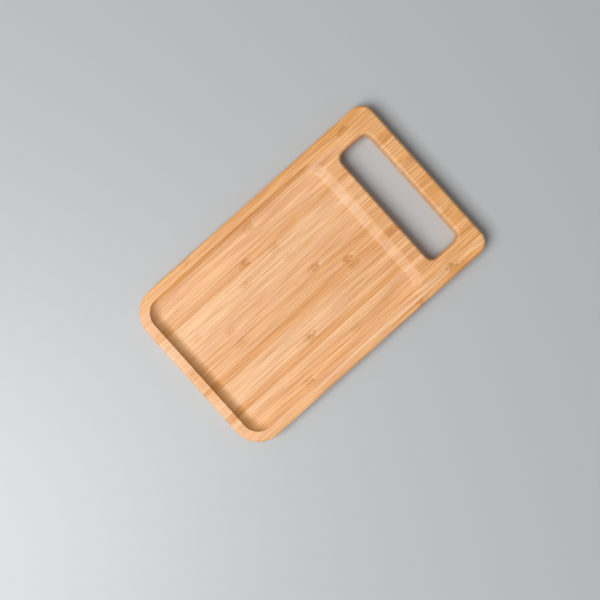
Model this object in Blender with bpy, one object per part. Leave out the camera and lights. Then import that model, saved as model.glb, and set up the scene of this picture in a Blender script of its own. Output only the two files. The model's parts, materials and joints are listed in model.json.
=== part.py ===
"""A bamboo serving tray with a hand hole, milled from one edge-glued panel.

The panel is laid up from bamboo strips that stand on edge and run the tray's whole length.
After gluing it is milled: the outline, a dish with a coved wall, and the hand hole.
Every strip is its own solid here. Where the hand hole cuts right through a strip, its two
ends are separate solids: one in the tray, one in the grip bar.

The frame has its origin under the middle of the tray, +X towards the grip and +Z up.
"""

import math

import bmesh
import bpy

# Driving dimensions, in metres.
LENGTH = 0.280
WIDTH = 0.171
THICKNESS = 0.017
FAR_CORNER_RADIUS = 0.026
GRIP_CORNER_RADIUS = 0.0128
OUTER_EDGE_ROUND = 0.0034

RIM_WIDTH = 0.0097
DISH_GRIP_END_X = 0.075
DISH_DEPTH = 0.007
DISH_WALL_SLOPE = math.radians(68)

HOLE_NEAR_X = 0.0886
HOLE_FAR_X = 0.1235
HOLE_LENGTH = 0.1252
HOLE_CORNER_RADIUS = 0.0076
HOLE_EDGE_ROUND = 0.0028

STRIP_PITCH = 0.00727
GLUE_GAP = 0.0003
FULL_STRIPS_EACH_SIDE = 11

# How finely the curves are divided, and the angle from which an edge is shaded sharp.
CORNER_STEPS = 8
ROUND_STEPS = 4
COVE_STEPS = 6
SHARP_ANGLE = math.radians(30)

# Worked out from the dimensions above.
FAR_X = -LENGTH / 2
GRIP_X = LENGTH / 2
HALF_WIDTH = WIDTH / 2
FLOOR_Z = THICKNESS - DISH_DEPTH
COVE_RADIUS = DISH_DEPTH / (1 - math.cos(DISH_WALL_SLOPE))
DISH_FAR_X = FAR_X + RIM_WIDTH
DISH_HALF_WIDTH = HALF_WIDTH - RIM_WIDTH
DISH_CORNER_RADIUS = FAR_CORNER_RADIUS - RIM_WIDTH
HOLE_HALF_LENGTH = HOLE_LENGTH / 2
HOLE_MIDDLE_X = (HOLE_NEAR_X + HOLE_FAR_X) / 2

# The strips come from different culms. Those not listed here are of the middling tone.
PALE_STRIPS = (4, 6, 7, 15, 16, 17)
DARK_STRIPS = (5, 9, 18)
PALE_COLOUR = (0.84, 0.54, 0.30, 1.0)
MIDDLING_COLOUR = (0.79, 0.48, 0.24, 1.0)
DARK_COLOUR = (0.73, 0.41, 0.18, 1.0)
OILED_ROUGHNESS = 0.45


def clear_scene():
    for obj in list(bpy.data.objects):
        bpy.data.objects.remove(obj)


def corner_arc(centre_x, centre_y, radius, start_angle):
    """A quarter circle, anticlockwise from start_angle, as (x, y) points."""
    points = []
    for step in range(CORNER_STEPS + 1):
        angle = start_angle + math.pi / 2 * step / CORNER_STEPS
        points.append(
            (
                centre_x + radius * math.cos(angle),
                centre_y + radius * math.sin(angle),
            )
        )
    return points


def rounded_outline(low_x, high_x, half_y, low_radius, high_radius, inset):
    """A rectangle with round corners, shrunk on every side by inset, as (x, y) points."""
    low_r = low_radius - inset
    high_r = high_radius - inset
    left = low_x + inset + low_r
    right = high_x - inset - high_r
    low_y = half_y - inset - low_r
    high_y = half_y - inset - high_r
    return (
        corner_arc(right, high_y, high_r, 0)
        + corner_arc(left, low_y, low_r, math.pi / 2)
        + corner_arc(left, -low_y, low_r, math.pi)
        + corner_arc(right, -high_y, high_r, 3 * math.pi / 2)
    )


def outer_outline(inset):
    return rounded_outline(FAR_X, GRIP_X, HALF_WIDTH, FAR_CORNER_RADIUS, GRIP_CORNER_RADIUS, inset)


def dish_outline(inset):
    return rounded_outline(
        DISH_FAR_X, DISH_GRIP_END_X, DISH_HALF_WIDTH, DISH_CORNER_RADIUS, DISH_CORNER_RADIUS, inset
    )


def hole_outline(inset):
    return rounded_outline(
        HOLE_NEAR_X, HOLE_FAR_X, HOLE_HALF_LENGTH, HOLE_CORNER_RADIUS, HOLE_CORNER_RADIUS, inset
    )


def rounded_wall_profile(radius):
    """(inset, z) down a wall whose top and bottom edges are rounded; 0 is the wall itself."""
    profile = []
    for step in range(ROUND_STEPS + 1):
        angle = math.pi / 2 * step / ROUND_STEPS
        profile.append(
            (
                radius * (1 - math.sin(angle)),
                THICKNESS - radius * (1 - math.cos(angle)),
            )
        )
    bottom = [(inset, THICKNESS - z) for inset, z in reversed(profile)]
    return profile + bottom


def cove_profile():
    """(inset, z) down the dish's hollow wall: steep at the rim, and level where it meets the floor."""
    foot_inset = COVE_RADIUS * math.sin(DISH_WALL_SLOPE)
    profile = []
    for step in range(COVE_STEPS + 1):
        slope = DISH_WALL_SLOPE * (1 - step / COVE_STEPS)
        profile.append(
            (
                foot_inset - COVE_RADIUS * math.sin(slope),
                FLOOR_Z + COVE_RADIUS * (1 - math.cos(slope)),
            )
        )
    return profile


def swept_wall(bm, outline_at, profile, inset_sign):
    """Sweeps a profile round an outline; returns the first and the last ring's edges."""
    rings = []
    for inset, z in profile:
        rings.append([bm.verts.new((x, y, z)) for x, y in outline_at(inset_sign * inset)])
    count = len(rings[0])
    for upper, lower in zip(rings, rings[1:]):
        for i in range(count):
            j = (i + 1) % count
            bm.faces.new((upper[i], upper[j], lower[j], lower[i]))
    ends = []
    for ring in (rings[0], rings[-1]):
        ends.append([bm.edges.get((ring[i], ring[(i + 1) % count])) for i in range(count)])
    return ends


def milled_panel():
    """The whole tray as one closed bmesh, before it is divided into strips."""
    bm = bmesh.new()
    outer_wall = rounded_wall_profile(OUTER_EDGE_ROUND)
    hole_wall = rounded_wall_profile(HOLE_EDGE_ROUND)
    outer_top, outer_bottom = swept_wall(bm, outer_outline, outer_wall, 1)
    hole_top, hole_bottom = swept_wall(bm, hole_outline, hole_wall, -1)
    dish_rim, dish_floor = swept_wall(bm, dish_outline, cove_profile(), 1)
    for edges in (outer_top + hole_top + dish_rim, outer_bottom + hole_bottom, dish_floor):
        bmesh.ops.triangle_fill(bm, edges=edges, use_beauty=True)
    bmesh.ops.recalc_face_normals(bm, faces=bm.faces)
    return bm


def keep_side(bm, point, outward):
    """Cuts the mesh at a plane, removes what lies on the plane's outward side, and closes the cut."""
    geometry = bm.verts[:] + bm.edges[:] + bm.faces[:]
    bmesh.ops.bisect_plane(bm, geom=geometry, plane_co=point, plane_no=outward, clear_outer=True)
    open_edges = [edge for edge in bm.edges if edge.is_boundary]
    if open_edges:
        bmesh.ops.holes_fill(bm, edges=open_edges, sides=0)


def bamboo_material(name, colour):
    material = bpy.data.materials.new(name)
    material.use_nodes = True
    shader = material.node_tree.nodes["Principled BSDF"]
    shader.inputs["Base Color"].default_value = colour
    shader.inputs["Roughness"].default_value = OILED_ROUGHNESS
    shader.inputs["Metallic"].default_value = 0.0
    return material


def strip_colour(number):
    if number in PALE_STRIPS:
        return PALE_COLOUR
    if number in DARK_STRIPS:
        return DARK_COLOUR
    return MIDDLING_COLOUR


def add_strip(name, panel, low_y, high_y, x_limit, colour):
    """One strip of the panel, between low_y and high_y. x_limit is (x, direction) or None."""
    bm = panel.copy()
    if low_y is not None:
        keep_side(bm, (0, low_y, 0), (0, -1, 0))
    if high_y is not None:
        keep_side(bm, (0, high_y, 0), (0, 1, 0))
    if x_limit is not None:
        x, direction = x_limit
        keep_side(bm, (x, 0, 0), (direction, 0, 0))
    bmesh.ops.recalc_face_normals(bm, faces=bm.faces)
    mesh = bpy.data.meshes.new(name)
    bm.to_mesh(mesh)
    bm.free()
    mesh.materials.append(bamboo_material(name, colour))
    mesh.shade_smooth()
    mesh.set_sharp_from_angle(angle=SHARP_ANGLE)
    bpy.context.scene.collection.objects.link(bpy.data.objects.new(name, mesh))


def build_tray():
    panel = milled_panel()
    full_strips = range(-FULL_STRIPS_EACH_SIDE, FULL_STRIPS_EACH_SIDE)
    edge_y = FULL_STRIPS_EACH_SIDE * STRIP_PITCH + GLUE_GAP / 2

    add_strip("edge_strip_right", panel, None, -edge_y, None, MIDDLING_COLOUR)
    for number, place in enumerate(full_strips, start=1):
        name = f"strip_{number:02d}"
        low_y = place * STRIP_PITCH + GLUE_GAP / 2
        high_y = (place + 1) * STRIP_PITCH - GLUE_GAP / 2
        colour = strip_colour(number)
        cut_through = max(abs(low_y), abs(high_y)) < HOLE_HALF_LENGTH
        if cut_through:
            add_strip(f"{name}_tray", panel, low_y, high_y, (HOLE_MIDDLE_X, 1), colour)
            add_strip(f"{name}_grip", panel, low_y, high_y, (HOLE_MIDDLE_X, -1), colour)
        else:
            add_strip(name, panel, low_y, high_y, None, colour)
    add_strip("edge_strip_left", panel, edge_y, None, None, MIDDLING_COLOUR)
    panel.free()


clear_scene()
build_tray()
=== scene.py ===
"""The looks of a bamboo serving tray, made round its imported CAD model.

Every CAD strip is replaced by a finely milled one of the same size, with the same place in the
glued panel. One material makes the bamboo: its fibres run along X right through each strip, so
that the same fibres show as lines on the flats and as dots where the milling cuts across them.

The frame has its origin under the middle of the tray, +X towards the grip and +Z up, in metres.
"""

import json
import math
import random

import bmesh
import bpy
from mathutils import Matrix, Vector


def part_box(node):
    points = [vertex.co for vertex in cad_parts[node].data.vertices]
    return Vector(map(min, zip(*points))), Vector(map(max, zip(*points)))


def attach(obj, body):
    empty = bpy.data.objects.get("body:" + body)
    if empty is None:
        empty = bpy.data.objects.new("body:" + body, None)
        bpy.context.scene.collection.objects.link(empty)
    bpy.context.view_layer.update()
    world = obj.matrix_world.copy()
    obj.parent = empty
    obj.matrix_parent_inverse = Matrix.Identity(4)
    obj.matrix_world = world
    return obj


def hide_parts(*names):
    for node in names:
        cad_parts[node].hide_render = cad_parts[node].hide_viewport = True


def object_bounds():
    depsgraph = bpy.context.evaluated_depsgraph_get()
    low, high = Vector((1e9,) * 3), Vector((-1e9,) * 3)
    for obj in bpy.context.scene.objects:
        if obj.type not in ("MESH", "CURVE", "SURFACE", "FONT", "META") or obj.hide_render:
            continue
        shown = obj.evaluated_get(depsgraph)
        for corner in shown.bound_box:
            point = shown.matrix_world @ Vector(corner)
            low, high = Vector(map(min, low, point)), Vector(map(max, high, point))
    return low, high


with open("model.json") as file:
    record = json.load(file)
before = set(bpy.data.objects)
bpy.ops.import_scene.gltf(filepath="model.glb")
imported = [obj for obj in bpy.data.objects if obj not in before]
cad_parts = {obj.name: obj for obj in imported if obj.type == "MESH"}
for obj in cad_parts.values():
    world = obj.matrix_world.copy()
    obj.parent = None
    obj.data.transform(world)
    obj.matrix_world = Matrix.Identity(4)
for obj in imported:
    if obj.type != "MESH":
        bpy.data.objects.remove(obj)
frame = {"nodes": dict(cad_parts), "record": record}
cad_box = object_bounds()

# The tray's sizes that the frame doesn't give as a box.
FAR_CORNER_RADIUS = 0.026
GRIP_CORNER_RADIUS = 0.0128
OUTER_EDGE_ROUND = 0.0034
RIM_WIDTH = 0.0097
RIM_EASE = 0.0003
DISH_GRIP_END_X = 0.075
DISH_WALL_SLOPE = math.radians(68)
HOLE_HALF_LENGTH = 0.0626
HOLE_CORNER_RADIUS = 0.0076
HOLE_EDGE_ROUND = 0.0028

# The tray's sizes from the frame.
FAR_X, GRIP_X = cad_box[0].x, cad_box[1].x
HALF_WIDTH = cad_box[1].y
THICKNESS = cad_box[1].z
FLOOR_Z = next(m["pos_m"][2] for m in frame["record"]["mounts"] if m["name"] == "dish_floor")
HOLE_NEAR_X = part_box("strip_12_tray")[1].x
HOLE_FAR_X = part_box("strip_12_grip")[0].x
HOLE_MIDDLE_X = (HOLE_NEAR_X + HOLE_FAR_X) / 2
STRIP_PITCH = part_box("strip_13_tray")[0].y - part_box("strip_12_tray")[0].y

# How finely the curves are divided, and the angle from which an edge is sharp.
CORNER_STEPS = 24
ROUND_STEPS = 10
EASE_STEPS = 4
COVE_STEPS = 20
SHARP_ANGLE = math.radians(35)
COPLANAR_ANGLE = math.radians(0.2)

# Each strip's tone at its far end and at its grip end (over 0 is paler than most, under 0 is
# darker), how golden it is, and its knuckles: their X, and how strongly they show.
STRIP_LOOKS = {
    "edge_strip_right": (0.7, -0.9, 0.4, [(0.059, 0.9)]),
    "strip_01": (0.0, 1.7, -0.1, [(0.100, 1.0)]),
    "strip_02": (0.1, 0.3, 0.2, [(-0.062, 0.6)]),
    "strip_03": (-0.2, -0.5, 0.0, [(0.002, 0.3)]),
    "strip_04": (0.8, 0.6, 0.0, []),
    "strip_05": (-1.6, -0.6, 0.1, []),
    "strip_06": (1.0, -0.4, 0.0, [(-0.035, 0.9)]),
    "strip_07": (0.6, 0.7, 0.0, []),
    "strip_08": (0.4, -0.4, 0.0, []),
    "strip_09": (-1.6, -0.7, 0.2, [(0.038, 0.5), (0.079, 0.3)]),
    "strip_10": (-0.4, 0.0, 0.0, [(0.036, 1.0)]),
    "strip_11": (-0.6, -0.8, 0.1, [(-0.084, 0.5)]),
    "strip_12": (-0.4, 0.0, -0.1, [(0.008, 0.8)]),
    "strip_13": (0.4, 0.0, -0.1, [(-0.084, 0.5)]),
    "strip_14": (0.2, 0.7, -0.2, [(0.135, 0.5)]),
    "strip_15": (0.9, 0.1, 0.0, [(-0.113, 0.3), (-0.001, 0.3)]),
    "strip_16": (1.1, 0.6, -0.1, [(-0.046, 0.4)]),
    "strip_17": (1.2, 0.8, -0.1, [(-0.006, 0.4)]),
    "strip_18": (-1.1, -0.4, 0.1, [(-0.035, 1.0)]),
    "strip_19": (0.0, 0.3, 0.0, []),
    "strip_20": (0.4, 0.3, -0.2, []),
    "strip_21": (0.7, 0.5, -0.3, [(-0.011, 0.6)]),
    "strip_22": (0.1, -0.1, 0.5, [(0.107, 0.6)]),
    "edge_strip_left": (0.3, -0.6, 0.6, [(-0.072, 0.5)]),
}

# A strip has at most two knuckles. One of no strength, far off the tray, fills an empty place.
KNUCKLES_PER_STRIP = 2
NO_KNUCKLE = (1.0, 0.0)

# Each strip reads its noise at a height of its own, drawn from this range, so no two are alike.
GRAIN_SEEDS = (1.0, 9.0)

# The bamboo's darkest and palest tone, the colour that end grain tends to, and the tints that
# a colour is multiplied by.
DARK_BAMBOO = (0.706, 0.308, 0.095, 1.0)
PALE_BAMBOO = (0.946, 0.578, 0.338, 1.0)
END_GRAIN = (0.62, 0.33, 0.135, 1.0)
GOLDEN_TINT = (1.02, 0.96, 0.72, 1.0)
DARK_LINE_TINT = (0.78, 0.70, 0.60, 1.0)
PALE_LINE_TINT = (1.12, 1.18, 1.24, 1.0)
BUNDLE_TINT = (0.79, 0.71, 0.62, 1.0)
KNUCKLE_TINT = (0.77, 0.62, 0.42, 1.0)
KNUCKLE_HALO_TINT = (0.90, 0.84, 0.70, 1.0)
FLECK_TINT = (1.10, 1.26, 1.50, 1.0)
GLUE_TINT = (0.84, 0.72, 0.58, 1.0)
# Partly real, partly painted shade: cut fibres are duller, and the tint's drop in blue paints the
# warm, bounced shade on the hollow's far wall.
CUT_FIBRE_AND_WARM_SHADE_TINT = (0.87, 0.87, 0.77, 1.0)
# Painted light: steep faces are tinted paler for the light that the walls catch.
STEEP_PAINTED_LIGHT_TINT = (1.08, 1.065, 1.03, 1.0)
# Painted sheen: a pale, bluish tint on faces towards the window, for the window's light that they
# reflect.
PAINTED_SHEEN_TINT = (0.985, 1.12, 1.57, 1.0)

# How far one step of tone goes from the dark bamboo towards the pale, how many steps the bands
# and streaks add, and how many a strip darkens towards the side that was under its culm's skin.
TONE_STEP = 0.227
BAND_CONTRAST = 1.8
STREAK_CONTRAST = 2.5
SKIN_DARKENS = 0.6

# Towards the grip end the bamboo is darker and more golden, its bands and streaks are softer and its
# fine lines stronger.
GRIP_END_FROM_X = DISH_GRIP_END_X - 0.025
GRIP_END_TONE = -0.3
GRIP_END_GOLD = 1.6
GRIP_END_SOFTENS = 0.4

# How strongly the fine marks show, and how much softer the lines are where they are cut across.
LINE_CONTRAST = 2.7
GOLDEN_PATCHES = 0.4
BUNDLE_DARKENS = 0.6
FIBRE_DARKENS = 0.25
END_GRAIN_EVENS = 0.4
CUT_SOFTENS = 0.5

# The marks in the bamboo: how far they reach along the strip, across it and through its height.
# Most lie in layers that the strip's sides run along, so they reach further in height than across.
BAND_SIZE = (0.16, 0.0045, 0.030)
STREAK_SIZE = (0.16, 0.0020, 0.020)
LINE_SIZE = (0.045, 0.0010, 0.010)
PATCH_SIZE = (0.030, 0.0060, 0.020)
BUNDLE_SIZE = (0.030, 0.00042, 0.0008)
FIBRE_SIZE = (0.012, 0.00020, 0.0002)
DRIFT_SIZE = (0.060, 0.015, 0.030)
GLUE_SHOWS_SIZE = (0.060, 0.010, 0.030)
CRUMPLE_SIZE = (0.0034, 0.0011, 0.0020)
NOISE_ROUGHNESS = 0.55

# The noise from which a mark starts to show, and the noise at which it shows fully.
PATCH_SHOWS = (0.35, 0.70)
BUNDLE_SHOWS = (0.50, 0.72)
FIBRE_SHOWS = (0.35, 0.75)
SPECK_SHOWS = (0.58, 0.38)
FLECK_SHOWS = (0.52, 0.68)
GLUE_SHOWS = (0.35, 0.65)
BUNDLES_AT_SKIN = 0.95
BUNDLES_INSIDE = 0.30
GLUE_LINE_WIDTH = 0.00016
GLUE_LINE_CORE = GLUE_LINE_WIDTH / 3

# How far the grain drifts from side to side, and how far a knuckle shifts it.
DRIFT = 0.0014
KNUCKLE_SHIFT = 0.0022

# A knuckle's size along the strip and across it, how ragged its outline is, and how far away,
# in knuckle sizes, each of its marks starts and is full. Flecks lie only on its grip side.
KNUCKLE_SIZE = (0.0060, 0.0040)
KNUCKLE_RAGGEDNESS = 1.6
BEND_REACH = (2.2, 0.3)
DARK_REACH = (1.4, 0.4)
FLECKS_START = (0.2, 0.9)
FLECKS_END = (2.2, 0.9)

# Where the milling shows, by the X of a face's normal: fibres cut across and end grain. Faces towards
# the far end, where the window is, get a painted sheen. Steep faces go by the Z of their normal.
CUT_ACROSS_X = (0.1, 0.5)
END_GRAIN_X = (0.5, 1.0)
WINDOW_FACING_X = (-0.05, -0.7)
STEEP_Z = (0.92, 0.65)

# The oiled surface: its roughness where it is smoothest, what adds to that, and its fine relief.
OILED_ROUGHNESS = 0.42
BUNDLE_ROUGHENS = 0.08
CUT_ROUGHENS = 0.14
FIBRE_ROUGHENS = 0.08
BUNDLE_RELIEF = -0.5
FIBRE_RELIEF = 0.5
RELIEF_STRENGTH = 0.6
RELIEF_DEPTH = 0.00006

# The view: straight down, turned, and a little to one side of the tray's middle. Its distance
# is from the rim, where it takes in its span.
VIEW_TURN = math.radians(-41.85)
VIEW_CENTRE = (-0.0199, -0.0096)
VIEW_DISTANCE = 0.71
VIEW_SPAN = 0.5293

# The light: one large soft window beyond the tray's far end, and a pale room.
WINDOW_HEADING = math.radians(172)
WINDOW_ELEVATION = math.radians(55)
WINDOW_DISTANCE = 2.4
WINDOW_SIZE = 1.4
WINDOW_POWER = 62.0
WINDOW_COLOUR = (0.98, 0.99, 1.0)
ROOM_COLOUR = (0.98, 0.99, 1.0, 1.0)
ROOM_STRENGTH = 0.29

FLOOR_COLOUR = (0.46, 0.47, 0.475, 1.0)
FLOOR_ROUGHNESS = 0.45
FLOOR_SIZE = 6.0


class Nodes:
    """Adds nodes to a new material, so that each line of a pattern reads as a formula."""

    def __init__(self, name):
        self.material = bpy.data.materials.new(name)
        self.material.use_nodes = True
        self.tree = self.material.node_tree
        self.shader = self.tree.nodes["Principled BSDF"]

    def feed(self, socket, value):
        """Links a socket to another, or sets its value."""
        if isinstance(value, bpy.types.NodeSocket):
            self.tree.links.new(value, socket)
        else:
            socket.default_value = value

    def add(self, kind, inputs, **settings):
        """A new node, with its inputs fed by name or by number."""
        node = self.tree.nodes.new(kind)
        for name, value in settings.items():
            setattr(node, name, value)
        for socket, value in inputs.items():
            self.feed(node.inputs[socket], value)
        return node

    def math(self, operation, *values):
        return self.add("ShaderNodeMath", dict(enumerate(values)), operation=operation).outputs[0]

    def vector(self, *values):
        return self.add("ShaderNodeCombineXYZ", dict(enumerate(values))).outputs[0]

    def parts(self, vector):
        return self.add("ShaderNodeSeparateXYZ", {0: vector}).outputs

    def noise(self, place, size, detail=1.0):
        """Noise from 0 to 1, its marks as large as size in X, Y and Z."""
        stretch = tuple(1 / length for length in size)
        scaled = self.add("ShaderNodeVectorMath", {0: place, 1: stretch}, operation="MULTIPLY")
        inputs = {
            "Vector": scaled.outputs[0],
            "Scale": 1.0,
            "Detail": detail,
            "Roughness": NOISE_ROUGHNESS,
        }
        return self.add("ShaderNodeTexNoise", inputs).outputs[0]

    def about_zero(self, value):
        """A value from 0 to 1, moved to lie evenly about 0."""
        return self.math("SUBTRACT", value, 0.5)

    def smooth(self, value, low, high):
        """Rises smoothly from 0 at low to 1 at high, or falls if low is over high."""
        inputs = {"Value": value, "From Min": low, "From Max": high}
        return self.add("ShaderNodeMapRange", inputs, interpolation_type="SMOOTHSTEP").outputs[0]

    def blend(self, factor, a, b, blend_type="MIX"):
        """Mixes two colours."""
        node = self.add("ShaderNodeMix", {}, data_type="RGBA", blend_type=blend_type)
        self.feed(node.inputs["Factor"], factor)
        colours = [socket for socket in node.inputs if socket.type == "RGBA"]
        self.feed(colours[0], a)
        self.feed(colours[1], b)
        return next(socket for socket in node.outputs if socket.type == "RGBA")

    def tint(self, amount, colour, tint):
        """Multiplies a colour by a tint, in part where the amount is under 1."""
        return self.blend(amount, colour, tint, "MULTIPLY")

    def property(self, name):
        """A number that each object holds for itself."""
        settings = {"attribute_type": "OBJECT", "attribute_name": name}
        return self.add("ShaderNodeAttribute", {}, **settings).outputs["Fac"]


def knuckle_marks(nodes, x, from_middle, crumple):
    """How strongly a place is bent, darkened and flecked by the strip's knuckles."""
    ragged = nodes.about_zero(crumple)
    away_y = nodes.math("DIVIDE", from_middle, KNUCKLE_SIZE[1])
    bend, dark, fleck = 0.0, 0.0, 0.0
    for number in range(1, KNUCKLES_PER_STRIP + 1):
        strength = nodes.property(f"knuckle_{number}_strength")
        away_x = nodes.math("SUBTRACT", x, nodes.property(f"knuckle_{number}"))
        away_x = nodes.math("DIVIDE", away_x, KNUCKLE_SIZE[0])
        both = nodes.vector(away_x, away_y, 0.0)
        away = nodes.add("ShaderNodeVectorMath", {0: both}, operation="LENGTH").outputs["Value"]
        away = nodes.math("MULTIPLY_ADD", ragged, KNUCKLE_RAGGEDNESS, away)
        bend = nodes.math("MULTIPLY_ADD", nodes.smooth(away, *BEND_REACH), strength, bend)
        dark = nodes.math("MULTIPLY_ADD", nodes.smooth(away, *DARK_REACH), strength, dark)
        started = nodes.smooth(away_x, *FLECKS_START)
        beside = nodes.math("MULTIPLY", started, nodes.smooth(away_x, *FLECKS_END))
        fleck = nodes.math("MULTIPLY_ADD", beside, strength, fleck)
    return bend, dark, fleck


def strip_tone(nodes, x, grain, to_skin, near_grip):
    """The strip's own tone, from end to end, with broad bands and narrower streaks."""
    far_tone = nodes.property("far_tone")
    change = nodes.math("SUBTRACT", nodes.property("grip_tone"), far_tone)
    tone = nodes.math("MULTIPLY_ADD", change, nodes.smooth(x, FAR_X, GRIP_X), far_tone)
    tone = nodes.math("MULTIPLY_ADD", near_grip, GRIP_END_TONE, tone)
    for size, detail, contrast in (
        (BAND_SIZE, 1.0, BAND_CONTRAST),
        (STREAK_SIZE, 2.0, STREAK_CONTRAST),
    ):
        layer = nodes.about_zero(nodes.noise(grain, size, detail))
        softened = nodes.math("MULTIPLY_ADD", near_grip, -GRIP_END_SOFTENS * contrast, contrast)
        tone = nodes.math("MULTIPLY_ADD", layer, softened, tone)
    darker = nodes.math("MULTIPLY_ADD", to_skin, SKIN_DARKENS, -SKIN_DARKENS / 2)
    tone = nodes.math("SUBTRACT", tone, darker)
    return nodes.math("MULTIPLY_ADD", tone, TONE_STEP, 0.5)


def line_tint(nodes, grain, patches, near_grip, cut_across):
    """The tint of the fine lines. They are strongest in patches and towards the grip end."""
    contrast = nodes.math("MULTIPLY_ADD", patches, LINE_CONTRAST, LINE_CONTRAST / 2)
    contrast = nodes.math("MULTIPLY_ADD", near_grip, LINE_CONTRAST, contrast)
    softened = nodes.math("MULTIPLY_ADD", cut_across, -CUT_SOFTENS, 1.0)
    contrast = nodes.math("MULTIPLY", contrast, softened)
    lines = nodes.about_zero(nodes.noise(grain, LINE_SIZE, detail=2.0))
    lines = nodes.math("MULTIPLY_ADD", lines, contrast, 0.5)
    return nodes.blend(lines, DARK_LINE_TINT, PALE_LINE_TINT)


def grain_colour(nodes, x, grain, to_skin, cut_across, bundles, fibres):
    """The bamboo's colour, from the strip's tone down to its finest fibres."""
    # Towards the grip end: darker, more golden, softer bands and stronger fine lines.
    near_grip = nodes.smooth(x, GRIP_END_FROM_X, HOLE_FAR_X)
    tone = strip_tone(nodes, x, grain, to_skin, near_grip)
    colour = nodes.blend(tone, DARK_BAMBOO, PALE_BAMBOO)
    patches = nodes.noise(grain, PATCH_SIZE)
    golden = nodes.math("MULTIPLY_ADD", near_grip, GRIP_END_GOLD, nodes.smooth(patches, *PATCH_SHOWS))
    golden = nodes.math("MULTIPLY_ADD", golden, GOLDEN_PATCHES, nodes.property("golden"))
    colour = nodes.tint(golden, colour, GOLDEN_TINT)
    lines = line_tint(nodes, grain, patches, near_grip, cut_across)
    colour = nodes.tint(1.0, colour, lines)
    colour = nodes.tint(nodes.math("MULTIPLY", bundles, BUNDLE_DARKENS), colour, BUNDLE_TINT)
    dull = nodes.smooth(fibres, *FIBRE_SHOWS)
    return nodes.tint(nodes.math("MULTIPLY", dull, FIBRE_DARKENS), colour, BUNDLE_TINT)


def knuckle_colour(nodes, colour, crumple, dark, fleck):
    """Darkens and mottles the colour at a knuckle, with pale flecks beside it."""
    colour = nodes.tint(dark, colour, KNUCKLE_HALO_TINT)
    mottled = nodes.math("MULTIPLY", dark, nodes.smooth(crumple, *SPECK_SHOWS))
    colour = nodes.tint(mottled, colour, KNUCKLE_TINT)
    bright = nodes.math("MULTIPLY", fleck, nodes.smooth(crumple, *FLECK_SHOWS))
    return nodes.tint(bright, colour, FLECK_TINT)


def glue_line(nodes, own_place, strips_across):
    """How strongly a glue line shows at a place: it comes and goes."""
    to_glue = nodes.math("MULTIPLY", nodes.math("PINGPONG", strips_across, 0.5), STRIP_PITCH)
    glue = nodes.smooth(to_glue, GLUE_LINE_WIDTH, GLUE_LINE_CORE)
    shows = nodes.smooth(nodes.noise(own_place, GLUE_SHOWS_SIZE), *GLUE_SHOWS)
    return nodes.math("MULTIPLY", glue, shows)


def milled_colour(nodes, colour, normal_x, normal_z, cut_across):
    """The colour after milling. Fibres cut across are duller, partly real and partly painted warm
    shade; end grain is more even.

    Steep faces are painted paler than the flats, as painted light for the light they catch. A wall
    that faces the far end, where the window is, is palest: a painted sheen.
    """
    # Partly painted shade: besides dulling cut fibres, this paints the warm, bounced shade of the
    # hollow's far wall.
    colour = nodes.tint(cut_across, colour, CUT_FIBRE_AND_WARM_SHADE_TINT)
    end_grain = nodes.smooth(nodes.math("ABSOLUTE", normal_x), *END_GRAIN_X)
    colour = nodes.blend(nodes.math("MULTIPLY", end_grain, END_GRAIN_EVENS), colour, END_GRAIN)
    # Painted light: steep walls are painted paler, for the light they catch.
    steep = nodes.smooth(nodes.math("ABSOLUTE", normal_z), *STEEP_Z)
    colour = nodes.tint(steep, colour, STEEP_PAINTED_LIGHT_TINT)
    # Painted sheen: faces towards the far end, where the window is, are tinted pale for the light
    # they reflect.
    painted_sheen = nodes.smooth(normal_x, *WINDOW_FACING_X)
    return nodes.tint(painted_sheen, colour, PAINTED_SHEEN_TINT)


def oiled_surface(nodes, bundles, fibres, cut_across):
    """Satin oil. It lies thinner where cut fibres and bundles drink it."""
    roughness = nodes.math("MULTIPLY_ADD", bundles, BUNDLE_ROUGHENS, OILED_ROUGHNESS)
    roughness = nodes.math("MULTIPLY_ADD", cut_across, CUT_ROUGHENS, roughness)
    roughness = nodes.math("MULTIPLY_ADD", fibres, FIBRE_ROUGHENS, roughness)
    nodes.feed(nodes.shader.inputs["Roughness"], roughness)

    fibre_height = nodes.math("MULTIPLY", fibres, FIBRE_RELIEF)
    height = nodes.math("MULTIPLY_ADD", bundles, BUNDLE_RELIEF, fibre_height)
    settings = {"Height": height, "Strength": RELIEF_STRENGTH, "Distance": RELIEF_DEPTH}
    bump = nodes.add("ShaderNodeBump", settings)
    nodes.feed(nodes.shader.inputs["Normal"], bump.outputs[0])


def bent_grain(nodes, own_place, bend, crumple):
    """The place with the grain's bends in it.

    The grain drifts slowly from side to side, and weaves where it crosses a knuckle.
    """
    x, y, own_z = nodes.parts(own_place)
    drift = nodes.about_zero(nodes.noise(own_place, DRIFT_SIZE))
    weave = nodes.math("MULTIPLY", nodes.about_zero(crumple), bend)
    bent_y = nodes.math("MULTIPLY_ADD", drift, DRIFT, y)
    bent_y = nodes.math("MULTIPLY_ADD", weave, KNUCKLE_SHIFT, bent_y)
    return nodes.vector(x, bent_y, own_z)


def fibre_bundles(nodes, grain, to_skin):
    """How strongly fibre bundles show: they crowd towards the culm's skin."""
    bundles = nodes.smooth(nodes.noise(grain, BUNDLE_SIZE), *BUNDLE_SHOWS)
    more = BUNDLES_AT_SKIN - BUNDLES_INSIDE
    crowding = nodes.math("MULTIPLY_ADD", to_skin, more, BUNDLES_INSIDE)
    return nodes.math("MULTIPLY", bundles, crowding)


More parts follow.
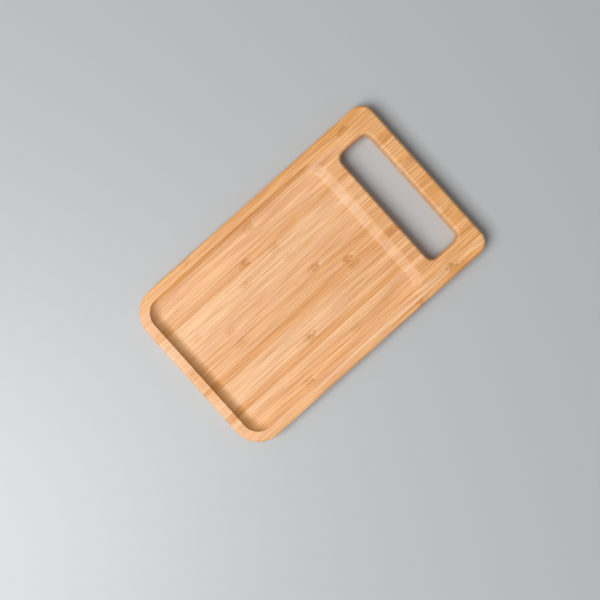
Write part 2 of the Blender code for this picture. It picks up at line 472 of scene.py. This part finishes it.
def bamboo_material():
    """Edge-glued bamboo under satin oil. Each strip's own properties give its tone and knuckles."""
    nodes = Nodes("oiled_bamboo")
    coordinates = nodes.add("ShaderNodeTexCoord", {})
    x, y, z = nodes.parts(coordinates.outputs["Object"])
    normal_x, _, normal_z = nodes.parts(coordinates.outputs["Normal"])
    own_place = nodes.vector(x, y, nodes.math("ADD", z, nodes.property("grain_seed")))

    # Where a place is in its strip: 0 to 1 across it, and 0 to 1 towards the culm's skin.
    strips_across = nodes.math("DIVIDE", y, STRIP_PITCH)
    across = nodes.math("FRACT", strips_across)
    from_middle = nodes.math("MULTIPLY", nodes.about_zero(across), STRIP_PITCH)
    from_skin = nodes.math("SUBTRACT", nodes.property("skin_side"), across)
    to_skin = nodes.math("SUBTRACT", 1.0, nodes.math("ABSOLUTE", from_skin))

    crumple = nodes.noise(own_place, CRUMPLE_SIZE, detail=2.0)
    bend, dark, fleck = knuckle_marks(nodes, x, from_middle, crumple)
    grain = bent_grain(nodes, own_place, bend, crumple)
    bundles = fibre_bundles(nodes, grain, to_skin)
    fibres = nodes.noise(grain, FIBRE_SIZE, detail=2.0)
    cut_across = nodes.smooth(nodes.math("ABSOLUTE", normal_x), *CUT_ACROSS_X)

    colour = grain_colour(nodes, x, grain, to_skin, cut_across, bundles, fibres)
    colour = knuckle_colour(nodes, colour, crumple, dark, fleck)
    colour = nodes.tint(glue_line(nodes, own_place, strips_across), colour, GLUE_TINT)
    colour = milled_colour(nodes, colour, normal_x, normal_z, cut_across)
    nodes.feed(nodes.shader.inputs["Base Color"], colour)
    oiled_surface(nodes, bundles, fibres, cut_across)
    return nodes.material


def corner_arc(centre_x, centre_y, radius, start_angle):
    """A quarter circle, anticlockwise from start_angle, as (x, y) points."""
    points = []
    for step in range(CORNER_STEPS + 1):
        angle = start_angle + math.pi / 2 * step / CORNER_STEPS
        points.append((centre_x + radius * math.cos(angle), centre_y + radius * math.sin(angle)))
    return points


def rounded_outline(low_x, high_x, half_y, low_radius, high_radius, inset):
    """A rectangle with round corners, shrunk on every side by inset, as (x, y) points."""
    low_r = low_radius - inset
    high_r = high_radius - inset
    left = low_x + inset + low_r
    right = high_x - inset - high_r
    low_y = half_y - inset - low_r
    high_y = half_y - inset - high_r
    return (
        corner_arc(right, high_y, high_r, 0)
        + corner_arc(left, low_y, low_r, math.pi / 2)
        + corner_arc(left, -low_y, low_r, math.pi)
        + corner_arc(right, -high_y, high_r, 3 * math.pi / 2)
    )


def outer_outline(inset):
    return rounded_outline(FAR_X, GRIP_X, HALF_WIDTH, FAR_CORNER_RADIUS, GRIP_CORNER_RADIUS, inset)


def dish_outline(inset):
    radius = FAR_CORNER_RADIUS - RIM_WIDTH
    half_width = HALF_WIDTH - RIM_WIDTH
    return rounded_outline(FAR_X + RIM_WIDTH, DISH_GRIP_END_X, half_width, radius, radius, inset)


def hole_outline(inset):
    radius = HOLE_CORNER_RADIUS
    return rounded_outline(HOLE_NEAR_X, HOLE_FAR_X, HOLE_HALF_LENGTH, radius, radius, inset)


def turn(angle, steps):
    """Angles from 0 to the given one."""
    return [angle * step / steps for step in range(steps + 1)]


def rounded_wall_profile(radius):
    """(inset, z) down a wall whose top and bottom edges are rounded; 0 is the wall itself."""
    top = []
    for angle in turn(math.pi / 2, ROUND_STEPS):
        top.append((radius * (1 - math.sin(angle)), THICKNESS - radius * (1 - math.cos(angle))))
    bottom = [(inset, THICKNESS - z) for inset, z in reversed(top)]
    return top + bottom


def cove_profile():
    """(inset, z) from the flat rim over an eased edge and down the cove to the dish's floor."""
    profile = []
    ease_start = -RIM_EASE * math.tan(DISH_WALL_SLOPE / 2)
    for angle in turn(DISH_WALL_SLOPE, EASE_STEPS):
        z = THICKNESS - RIM_EASE * (1 - math.cos(angle))
        profile.append((ease_start + RIM_EASE * math.sin(angle), z))
    start_inset, start_z = profile[-1]
    radius = (start_z - FLOOR_Z) / (1 - math.cos(DISH_WALL_SLOPE))
    foot_inset = start_inset + radius * math.sin(DISH_WALL_SLOPE)
    for angle in reversed(turn(DISH_WALL_SLOPE, COVE_STEPS)[:-1]):
        z = FLOOR_Z + radius * (1 - math.cos(angle))
        profile.append((foot_inset - radius * math.sin(angle), z))
    return profile


def swept_wall(bm, outline_at, profile, inset_sign):
    """Sweeps a profile round an outline; returns the first and the last ring's edges."""
    rings = []
    for inset, z in profile:
        rings.append([bm.verts.new((x, y, z)) for x, y in outline_at(inset_sign * inset)])
    count = len(rings[0])
    for upper, lower in zip(rings, rings[1:]):
        for i in range(count):
            j = (i + 1) % count
            bm.faces.new((upper[i], upper[j], lower[j], lower[i]))
    ends = []
    for ring in (rings[0], rings[-1]):
        ends.append([bm.edges.get((ring[i], ring[(i + 1) % count])) for i in range(count)])
    return ends


def milled_panel():
    """The whole tray as one closed bmesh, before it is divided into strips."""
    bm = bmesh.new()
    outer_wall = rounded_wall_profile(OUTER_EDGE_ROUND)
    hole_wall = rounded_wall_profile(HOLE_EDGE_ROUND)
    outer_top, outer_bottom = swept_wall(bm, outer_outline, outer_wall, 1)
    hole_top, hole_bottom = swept_wall(bm, hole_outline, hole_wall, -1)
    dish_rim, dish_floor = swept_wall(bm, dish_outline, cove_profile(), 1)
    for edges in (outer_top + hole_top + dish_rim, outer_bottom + hole_bottom, dish_floor):
        bmesh.ops.triangle_fill(bm, edges=edges, use_beauty=True)
    bmesh.ops.recalc_face_normals(bm, faces=bm.faces)
    return bm


def keep_side(bm, point, outward):
    """Cuts the mesh at a plane, removes what lies on the plane's outward side, and closes the cut."""
    geometry = bm.verts[:] + bm.edges[:] + bm.faces[:]
    bmesh.ops.bisect_plane(bm, geom=geometry, plane_co=point, plane_no=outward, clear_outer=True)
    open_edges = [edge for edge in bm.edges if edge.is_boundary]
    if open_edges:
        bmesh.ops.holes_fill(bm, edges=open_edges, sides=0)


def milled_strip(name, panel, planes):
    """A piece of the panel: what is left of it after keep_side at each plane."""
    bm = panel.copy()
    for point, outward in planes:
        keep_side(bm, point, outward)
    bmesh.ops.dissolve_limit(bm, angle_limit=COPLANAR_ANGLE, verts=bm.verts[:], edges=bm.edges[:])
    bmesh.ops.recalc_face_normals(bm, faces=bm.faces)
    mesh = bpy.data.meshes.new(name)
    bm.to_mesh(mesh)
    bm.free()
    mesh.shade_smooth()
    mesh.set_sharp_from_angle(angle=SHARP_ANGLE)
    strip = bpy.data.objects.new(name, mesh)
    bpy.context.scene.collection.objects.link(strip)
    even = strip.modifiers.new("flats stay flat", "WEIGHTED_NORMAL")
    even.keep_sharp = True
    return strip


def describe_strip(piece, base):
    """Gives a piece the properties that the bamboo material reads."""
    far_tone, grip_tone, golden, knuckles = STRIP_LOOKS[base]
    chance = random.Random(base)
    piece["far_tone"] = far_tone
    piece["grip_tone"] = grip_tone
    piece["golden"] = golden
    piece["grain_seed"] = chance.uniform(*GRAIN_SEEDS)
    piece["skin_side"] = float(chance.choice((0, 1)))
    padded = knuckles + [NO_KNUCKLE] * (KNUCKLES_PER_STRIP - len(knuckles))
    for number, (x, strength) in enumerate(padded, start=1):
        piece[f"knuckle_{number}"] = x
        piece[f"knuckle_{number}_strength"] = strength


def base_name(node):
    """The strip that a node belongs to: the hand hole parts a strip into two nodes."""
    return node.removesuffix("_tray").removesuffix("_grip")


def strip_nodes():
    """Each strip's CAD nodes, with the strips in order across the tray."""
    found = {}
    for node in sorted(frame["nodes"], key=lambda name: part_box(name)[0].y):
        found.setdefault(base_name(node), []).append(node)
    return found


def glue_planes(strips):
    """The Y of each glue line, halfway across the gap between two neighbours."""
    boxes = [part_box(nodes[0]) for nodes in strips.values()]
    return [(low[1].y + high[0].y) / 2 for low, high in zip(boxes, boxes[1:])]


def strip_sides(glue, place):
    """The glue planes on either side of a strip, as keep_side takes them; an edge strip has one."""
    sides = []
    if place > 0:
        sides.append(((0, glue[place - 1], 0), (0, -1, 0)))
    if place < len(glue):
        sides.append(((0, glue[place], 0), (0, 1, 0)))
    return sides


def hole_planes(node):
    """The plane through the hand hole that ends a node's piece, if the hole parts its strip."""
    if node.endswith("_tray"):
        return [((HOLE_MIDDLE_X, 0, 0), (1, 0, 0))]
    if node.endswith("_grip"):
        return [((HOLE_MIDDLE_X, 0, 0), (-1, 0, 0))]
    return []


def build_strips():
    bamboo = bamboo_material()
    panel = milled_panel()
    strips = strip_nodes()
    glue = glue_planes(strips)
    for place, (base, strip) in enumerate(strips.items()):
        for node in strip:
            planes = strip_sides(glue, place) + hole_planes(node)
            piece = milled_strip(f"bamboo_{node}", panel, planes)
            piece.data.materials.append(bamboo)
            describe_strip(piece, base)
            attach(piece, "root")
            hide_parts(node)
    panel.free()


def add_floor():
    nodes = Nodes("pale_floor")
    nodes.feed(nodes.shader.inputs["Base Color"], FLOOR_COLOUR)
    nodes.feed(nodes.shader.inputs["Roughness"], FLOOR_ROUGHNESS)
    half = FLOOR_SIZE / 2
    mesh = bpy.data.meshes.new("floor")
    corners = [(-half, -half, 0), (half, -half, 0), (half, half, 0), (-half, half, 0)]
    mesh.from_pydata(corners, [], [(0, 1, 2, 3)])
    mesh.materials.append(nodes.material)
    floor = bpy.data.objects.new("floor", mesh)
    bpy.context.scene.collection.objects.link(floor)


def add_light():
    lamp = bpy.data.lights.new("window", "AREA")
    lamp.shape = "SQUARE"
    lamp.size = WINDOW_SIZE
    lamp.energy = WINDOW_POWER
    lamp.color = WINDOW_COLOUR
    window = bpy.data.objects.new("window", lamp)
    level = WINDOW_DISTANCE * math.cos(WINDOW_ELEVATION)
    window.location = (
        level * math.cos(WINDOW_HEADING),
        level * math.sin(WINDOW_HEADING),
        WINDOW_DISTANCE * math.sin(WINDOW_ELEVATION),
    )
    window.rotation_euler = window.location.to_track_quat("Z", "Y").to_euler()
    bpy.context.scene.collection.objects.link(window)

    world = bpy.data.worlds.new("room")
    world.use_nodes = True
    background = world.node_tree.nodes["Background"]
    background.inputs["Color"].default_value = ROOM_COLOUR
    background.inputs["Strength"].default_value = ROOM_STRENGTH
    bpy.context.scene.world = world


def add_camera():
    camera = bpy.data.objects.new("camera", bpy.data.cameras.new("camera"))
    camera.data.angle = 2 * math.atan(VIEW_SPAN / 2 / VIEW_DISTANCE)
    camera.location = (*VIEW_CENTRE, THICKNESS + VIEW_DISTANCE)
    camera.rotation_euler = (0, 0, VIEW_TURN)
    bpy.context.scene.collection.objects.link(camera)
    bpy.context.scene.camera = camera


build_strips()
add_floor()
add_light()
add_camera()
bpy.context.scene.view_settings.view_transform = "Standard"
